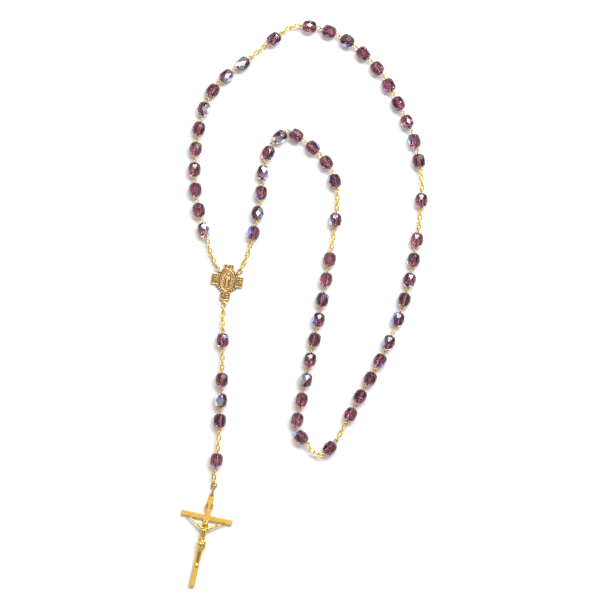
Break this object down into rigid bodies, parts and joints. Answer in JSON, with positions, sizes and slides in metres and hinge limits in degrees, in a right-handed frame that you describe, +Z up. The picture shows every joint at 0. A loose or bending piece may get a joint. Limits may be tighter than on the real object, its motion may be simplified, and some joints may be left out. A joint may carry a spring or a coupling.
{
  "type": "rosary",
  "caption": "Five-decade rosary laid out on a table: faceted amethyst glass beads on gold wire and links, a cross-shaped medal and a crucifix.",
  "frame": {"origin": "middle of the medal's flat back, on the table", "axes": "+Z up off the table, +Y from the crucifix towards the far end of the loop, +X to the right"},
  "size_m": [0.1231, 0.283, 0.0065],
  "materials": {
    "amethyst_glass": "transparent, faceted, some facets with an iridescent coating",
    "gold_wire": "bright gold plated",
    "antique_gold": "cast, antiqued, satin",
    "bright_gold": "cast, polished"
  },
  "bodies": {
    "medal": {"medal": "antique_gold"},
    "loop_chain_1": {"loop_chain_1": "gold_wire"},
    "decade_1_beads_a": {"decade_1_beads_a": "amethyst_glass"},
    "decade_1_beads_b": {"decade_1_beads_b": "amethyst_glass"},
    "decade_1_beads_c": {"decade_1_beads_c": "amethyst_glass"},
    "decade_1_beads_d": {"decade_1_beads_d": "amethyst_glass"},
    "loop_chain_2": {"loop_chain_2": "gold_wire"},
    "single_pin_1": {"single_pin_1": "gold_wire"},
    "single_bead_1": {"single_bead_1": "amethyst_glass"},
    "loop_chain_3": {"loop_chain_3": "gold_wire"},
    "decade_2_beads_a": {"decade_2_beads_a": "amethyst_glass"},
    "decade_2_beads_b": {"decade_2_beads_b": "amethyst_glass"},
    "decade_2_beads_c": {"decade_2_beads_c": "amethyst_glass"},
    "decade_2_beads_d": {"decade_2_beads_d": "amethyst_glass"},
    "loop_chain_4": {"loop_chain_4": "gold_wire"},
    "single_pin_2": {"single_pin_2": "gold_wire"},
    "single_bead_2": {"single_bead_2": "amethyst_glass"},
    "loop_chain_5": {"loop_chain_5": "gold_wire"},
    "decade_3_beads_a": {"decade_3_beads_a": "amethyst_glass"},
    "decade_3_beads_b": {"decade_3_beads_b": "amethyst_glass"},
    "loop_chain_10": {"loop_chain_10": "gold_wire"},
    "decade_5_beads_d": {"decade_5_beads_d": "amethyst_glass"},
    "decade_5_beads_c": {"decade_5_beads_c": "amethyst_glass"},
    "decade_5_beads_b": {"decade_5_beads_b": "amethyst_glass"},
    "decade_5_beads_a": {"decade_5_beads_a": "amethyst_glass"},
    "loop_chain_9": {"loop_chain_9": "gold_wire"},
    "single_pin_4": {"single_pin_4": "gold_wire"},
    "single_bead_4": {"single_bead_4": "amethyst_glass"},
    "loop_chain_8": {"loop_chain_8": "gold_wire"},
    "decade_4_beads_d": {"decade_4_beads_d": "amethyst_glass"},
    "decade_4_beads_c": {"decade_4_beads_c": "amethyst_glass"},
    "decade_4_beads_b": {"decade_4_beads_b": "amethyst_glass"},
    "decade_4_beads_a": {"decade_4_beads_a": "amethyst_glass"},
    "loop_chain_7": {"loop_chain_7": "gold_wire"},
    "single_pin_3": {"single_pin_3": "gold_wire"},
    "single_bead_3": {"single_bead_3": "amethyst_glass"},
    "loop_chain_6": {"loop_chain_6": "gold_wire"},
    "decade_3_beads_d": {"decade_3_beads_d": "amethyst_glass"},
    "decade_3_beads_c": {"decade_3_beads_c": "amethyst_glass"},
    "medal_ring": {"medal_ring": "gold_wire"},
    "pendant_chain_1": {"pendant_chain_1": "gold_wire"},
    "pendant_pin_1": {"pendant_pin_1": "gold_wire"},
    "pendant_bead_1": {"pendant_bead_1": "amethyst_glass"},
    "pendant_chain_2": {"pendant_chain_2": "gold_wire"},
    "pendant_pin_2": {"pendant_pin_2": "gold_wire"},
    "pendant_bead_2": {"pendant_bead_2": "amethyst_glass"},
    "pendant_pin_3": {"pendant_pin_3": "gold_wire"},
    "pendant_bead_3": {"pendant_bead_3": "amethyst_glass"},
    "pendant_pin_4": {"pendant_pin_4": "gold_wire"},
    "pendant_bead_4": {"pendant_bead_4": "amethyst_glass"},
    "pendant_chain_3": {"pendant_chain_3": "gold_wire"},
    "pendant_pin_5": {"pendant_pin_5": "gold_wire"},
    "pendant_bead_5": {"pendant_bead_5": "amethyst_glass"},
    "pendant_chain_4": {"pendant_chain_4": "gold_wire"},
    "crucifix_ring": {"crucifix_ring": "gold_wire"},
    "crucifix_bail": {"crucifix_bail": "gold_wire"},
    "crucifix": {"crucifix": "bright_gold", "title_plaque": "bright_gold", "corpus": "bright_gold"}
  },
  "joints": [
    {"name": "loop_chain_1_lift", "type": "hinge", "parent": "medal", "child": "loop_chain_1", "pos_m": [-0.00533, 0.00725, 0.0015], "axis": [-0.9504, -0.311, 0], "range_deg": [-65, 65]},
    {"name": "decade_1_beads_a_lift", "type": "hinge", "parent": "loop_chain_1", "child": "decade_1_beads_a", "pos_m": [-0.00999, 0.02084, 0.00325], "axis": [0.9537, 0.3007, 0], "range_deg": [-80, 80]},
    {"name": "decade_1_beads_b_lift", "type": "hinge", "parent": "decade_1_beads_a", "child": "decade_1_beads_b", "pos_m": [-0.01632, 0.0507, 0.00325], "axis": [-0.9999, 0.0139, 0], "range_deg": [-80, 80]},
    {"name": "decade_1_beads_c_lift", "type": "hinge", "parent": "decade_1_beads_b", "child": "decade_1_beads_c", "pos_m": [-0.01498, 0.07105, 0.00325], "axis": [0.9804, -0.197, 0], "range_deg": [-80, 80]},
    {"name": "decade_1_beads_d_lift", "type": "hinge", "parent": "decade_1_beads_c", "child": "decade_1_beads_d", "pos_m": [-0.00995, 0.09081, 0.00325], "axis": [-0.8064, 0.5914, 0], "range_deg": [-80, 80]},
    {"name": "loop_chain_2_lift", "type": "hinge", "parent": "decade_1_beads_d", "child": "loop_chain_2", "pos_m": [0.01226, 0.11152, 0.00325], "axis": [0.63, -0.7766, 0], "range_deg": [-80, 80]},
    {"name": "single_pin_1_lift", "type": "hinge", "parent": "loop_chain_2", "child": "single_pin_1", "pos_m": [0.0197, 0.11751, 0.00325], "axis": [-0.6108, 0.7918, 0], "range_deg": [-80, 80]},
    {"name": "single_bead_1_spin", "type": "hinge", "parent": "single_pin_1", "child": "single_bead_1", "pos_m": [0.0234, 0.12036, 0.00325], "axis": [0.7918, 0.6108, 0], "continuous": true},
    {"name": "loop_chain_3_lift", "type": "hinge", "parent": "single_pin_1", "child": "loop_chain_3", "pos_m": [0.02778, 0.12374, 0.00325], "axis": [0.5844, -0.8115, 0], "range_deg": [-80, 80]},
    {"name": "decade_2_beads_a_lift", "type": "hinge", "parent": "loop_chain_3", "child": "decade_2_beads_a", "pos_m": [0.0365, 0.12721, 0.00325], "axis": [0.1284, 0.9917, 0], "range_deg": [-80, 80]},
    {"name": "decade_2_beads_b_lift", "type": "hinge", "parent": "decade_2_beads_a", "child": "decade_2_beads_b", "pos_m": [0.06453, 0.11633, 0.00325], "axis": [-0.6705, -0.7419, 0], "range_deg": [-80, 80]},
    {"name": "decade_2_beads_c_lift", "type": "hinge", "parent": "decade_2_beads_b", "child": "decade_2_beads_c", "pos_m": [0.07837, 0.10143, 0.00325], "axis": [0.8768, 0.4809, 0], "range_deg": [-80, 80]},
    {"name": "decade_2_beads_d_lift", "type": "hinge", "parent": "decade_2_beads_c", "child": "decade_2_beads_d", "pos_m": [0.08791, 0.08337, 0.00325], "axis": [-0.9142, -0.4053, 0], "range_deg": [-80, 80]},
    {"name": "loop_chain_4_lift", "type": "hinge", "parent": "decade_2_beads_d", "child": "loop_chain_4", "pos_m": [0.09655, 0.05416, 0.00325], "axis": [0.9932, 0.1164, 0], "range_deg": [-80, 80]},
    {"name": "single_pin_2_lift", "type": "hinge", "parent": "loop_chain_4", "child": "single_pin_2", "pos_m": [0.09721, 0.04464, 0.00325], "axis": [-0.9979, 0.0646, 0], "range_deg": [-80, 80]},
    {"name": "single_bead_2_spin", "type": "hinge", "parent": "single_pin_2", "child": "single_bead_2", "pos_m": [0.0969, 0.03997, 0.00325], "axis": [-0.0646, -0.9979, 0], "continuous": true},
    {"name": "loop_chain_5_lift", "type": "hinge", "parent": "single_pin_2", "child": "loop_chain_5", "pos_m": [0.09655, 0.03445, 0.00325], "axis": [0.9947, -0.103, 0], "range_deg": [-80, 80]},
    {"name": "decade_3_beads_a_lift", "type": "hinge", "parent": "loop_chain_5", "child": "decade_3_beads_a", "pos_m": [0.09542, 0.02497, 0.00325], "axis": [-0.9889, 0.1483, 0], "range_deg": [-80, 80]},
    {"name": "decade_3_beads_b_lift", "type": "hinge", "parent": "decade_3_beads_a", "child": "decade_3_beads_b", "pos_m": [0.08969, -0.0051, 0.00325], "axis": [0.9596, -0.2815, 0], "range_deg": [-80, 80]},
    {"name": "loop_chain_10_lift", "type": "hinge", "parent": "medal", "child": "loop_chain_10", "pos_m": [0.00688, 0.00562, 0.0015], "axis": [0.9397, -0.342, 0], "range_deg": [-65, 65]},
    {"name": "decade_5_beads_d_lift", "type": "hinge", "parent": "loop_chain_10", "child": "decade_5_beads_d", "pos_m": [0.01191, 0.0191, 0.00325], "axis": [-0.9677, 0.2521, 0], "range_deg": [-80, 80]},
    {"name": "decade_5_beads_c_lift", "type": "hinge", "parent": "decade_5_beads_d", "child": "decade_5_beads_c", "pos_m": [0.01763, 0.04915, 0.00325], "axis": [0.9957, -0.0931, 0], "range_deg": [-80, 80]},
    {"name": "decade_5_beads_b_lift", "type": "hinge", "parent": "decade_5_beads_c", "child": "decade_5_beads_b", "pos_m": [0.02267, 0.06867, 0.00325], "axis": [-0.6198, 0.7847, 0], "range_deg": [-80, 80]},
    {"name": "decade_5_beads_a_lift", "type": "hinge", "parent": "decade_5_beads_b", "child": "decade_5_beads_a", "pos_m": [0.04695, 0.0627, 0.00325], "axis": [-0.8367, -0.5476, 0], "range_deg": [-80, 80]},
    {"name": "loop_chain_9_lift", "type": "hinge", "parent": "decade_5_beads_a", "child": "loop_chain_9", "pos_m": [0.05493, 0.04423, 0.00325], "axis": [0.998, 0.0625, 0], "range_deg": [-80, 80]},
    {"name": "single_pin_4_lift", "type": "hinge", "parent": "loop_chain_9", "child": "single_pin_4", "pos_m": [0.05456, 0.03471, 0.00325], "axis": [-0.9929, 0.1188, 0], "range_deg": [-80, 80]},
    {"name": "single_bead_4_spin", "type": "hinge", "parent": "single_pin_4", "child": "single_bead_4", "pos_m": [0.054, 0.03006, 0.00325], "axis": [-0.1188, -0.9929, 0], "continuous": true},
    {"name": "loop_chain_8_lift", "type": "hinge", "parent": "single_pin_4", "child": "loop_chain_8", "pos_m": [0.05334, 0.02457, 0.00325], "axis": [0.9905, -0.1374, 0], "range_deg": [-80, 80]},
    {"name": "decade_4_beads_d_lift", "type": "hinge", "parent": "loop_chain_8", "child": "decade_4_beads_d", "pos_m": [0.05193, 0.01513, 0.00325], "axis": [-0.986, 0.1665, 0], "range_deg": [-80, 80]},
    {"name": "decade_4_beads_c_lift", "type": "hinge", "parent": "decade_4_beads_d", "child": "decade_4_beads_c", "pos_m": [0.04655, -0.01502, 0.00325], "axis": [0.9799, -0.1993, 0], "range_deg": [-80, 80]},
    {"name": "decade_4_beads_b_lift", "type": "hinge", "parent": "decade_4_beads_c", "child": "decade_4_beads_b", "pos_m": [0.04023, -0.04499, 0.00325], "axis": [-0.9781, 0.2084, 0], "range_deg": [-80, 80]},
    {"name": "decade_4_beads_a_lift", "type": "hinge", "parent": "decade_4_beads_b", "child": "decade_4_beads_a", "pos_m": [0.03605, -0.06498, 0.00325], "axis": [0.9724, -0.2332, 0], "range_deg": [-80, 80]},
    {"name": "loop_chain_7_lift", "type": "hinge", "parent": "decade_4_beads_a", "child": "loop_chain_7", "pos_m": [0.04081, -0.08221, 0.00325], "axis": [-0.5477, -0.8367, 0], "range_deg": [-80, 80]},
    {"name": "single_pin_3_lift", "type": "hinge", "parent": "loop_chain_7", "child": "single_pin_3", "pos_m": [0.04816, -0.08718, 0.00325], "axis": [-0.7628, 0.6466, 0], "range_deg": [-80, 80]},
    {"name": "single_bead_3_spin", "type": "hinge", "parent": "single_pin_3", "child": "single_bead_3", "pos_m": [0.05119, -0.0836, 0.00325], "axis": [0.6466, 0.7628, 0], "continuous": true},
    {"name": "loop_chain_6_lift", "type": "hinge", "parent": "single_pin_3", "child": "loop_chain_6", "pos_m": [0.05476, -0.07939, 0.00325], "axis": [0.8678, -0.4969, 0], "range_deg": [-80, 80]},
    {"name": "decade_3_beads_d_lift", "type": "hinge", "parent": "loop_chain_6", "child": "decade_3_beads_d", "pos_m": [0.05935, -0.07101, 0.00325], "axis": [-0.8847, 0.4661, 0], "range_deg": [-80, 80]},
    {"name": "decade_3_beads_c_lift", "type": "hinge", "parent": "decade_3_beads_d", "child": "decade_3_beads_c", "pos_m": [0.07407, -0.04415, 0.00325], "axis": [0.8908, -0.4545, 0], "range_deg": [-80, 80]},
    {"name": "medal_ring_lift", "type": "hinge", "parent": "medal", "child": "medal_ring", "pos_m": [-0.00173, -0.01318, 0.0015], "axis": [0.9997, -0.0258, 0], "range_deg": [-80, 80]},
    {"name": "pendant_chain_1_swing", "type": "hinge", "parent": "medal_ring", "child": "pendant_chain_1", "pos_m": [-0.00179, -0.01566, 0.00209], "axis": [0.0044, 0.1737, 0.9848], "range_deg": [-75, 20]},
    {"name": "pendant_pin_1_swing", "type": "hinge", "parent": "pendant_chain_1", "child": "pendant_pin_1", "pos_m": [-0.00203, -0.02513, 0.00325], "axis": [0, 0, -1], "range_deg": [-20, 75]},
    {"name": "pendant_bead_1_spin", "type": "hinge", "parent": "pendant_pin_1", "child": "pendant_bead_1", "pos_m": [-0.00212, -0.0298, 0.00325], "axis": [-0.0197, -0.9998, 0], "continuous": true},
    {"name": "pendant_chain_2_lift", "type": "hinge", "parent": "pendant_pin_1", "child": "pendant_chain_2", "pos_m": [-0.00223, -0.03533, 0.00325], "axis": [-0.9998, 0.02, 0], "range_deg": [-80, 80]},
    {"name": "pendant_pin_2_lift", "type": "hinge", "parent": "pendant_chain_2", "child": "pendant_pin_2", "pos_m": [-0.00245, -0.04488, 0.00325], "axis": [0.9993, -0.0371, 0], "range_deg": [-80, 80]},
    {"name": "pendant_bead_2_spin", "type": "hinge", "parent": "pendant_pin_2", "child": "pendant_bead_2", "pos_m": [-0.00262, -0.04956, 0.00325], "axis": [-0.0371, -0.9993, 0], "continuous": true},
    {"name": "pendant_pin_3_lift", "type": "hinge", "parent": "pendant_pin_2", "child": "pendant_pin_3", "pos_m": [-0.00282, -0.05508, 0.00325], "axis": [-0.9986, 0.052, 0], "range_deg": [-80, 80]},
    {"name": "pendant_bead_3_spin", "type": "hinge", "parent": "pendant_pin_3", "child": "pendant_bead_3", "pos_m": [-0.00307, -0.05976, 0.00325], "axis": [-0.052, -0.9986, 0], "continuous": true},
    {"name": "pendant_pin_4_lift", "type": "hinge", "parent": "pendant_pin_3", "child": "pendant_pin_4", "pos_m": [-0.00335, -0.06528, 0.00325], "axis": [0.998, -0.0628, 0], "range_deg": [-80, 80]},
    {"name": "pendant_bead_4_spin", "type": "hinge", "parent": "pendant_pin_4", "child": "pendant_bead_4", "pos_m": [-0.00365, -0.06995, 0.00325], "axis": [-0.0628, -0.998, 0], "continuous": true},
    {"name": "pendant_chain_3_lift", "type": "hinge", "parent": "pendant_pin_4", "child": "pendant_chain_3", "pos_m": [-0.004, -0.07547, 0.00325], "axis": [-0.9978, 0.0665, 0], "range_deg": [-80, 80]},
    {"name": "pendant_pin_5_lift", "type": "hinge", "parent": "pendant_chain_3", "child": "pendant_pin_5", "pos_m": [-0.00468, -0.085, 0.00325], "axis": [0.9925, -0.1222, 0], "range_deg": [-80, 80]},
    {"name": "pendant_bead_5_spin", "type": "hinge", "parent": "pendant_pin_5", "child": "pendant_bead_5", "pos_m": [-0.00525, -0.08964, 0.00325], "axis": [-0.1222, -0.9925, 0], "continuous": true},
    {"name": "pendant_chain_4_lift", "type": "hinge", "parent": "pendant_pin_5", "child": "pendant_chain_4", "pos_m": [-0.00593, -0.09513, 0.00325], "axis": [-0.99, 0.1414, 0], "range_deg": [-80, 80]},
    {"name": "crucifix_ring_swing", "type": "hinge", "parent": "pendant_chain_4", "child": "crucifix_ring", "pos_m": [-0.00653, -0.10196, 0.00188], "axis": [-0.0156, -0.243, 0.9699], "range_deg": [-75, 75]},
    {"name": "crucifix_bail_lift", "type": "hinge", "parent": "crucifix_ring", "child": "crucifix_bail", "pos_m": [-0.00663, -0.10356, 0.00148], "axis": [0.9614, -0.2751, 0], "range_deg": [-80, 80]},
    {"name": "crucifix_swing", "type": "hinge", "parent": "crucifix_bail", "child": "crucifix", "pos_m": [-0.00771, -0.10735, 0], "axis": [0, 0, 1], "range_deg": [-75, 75]}
  ]
}
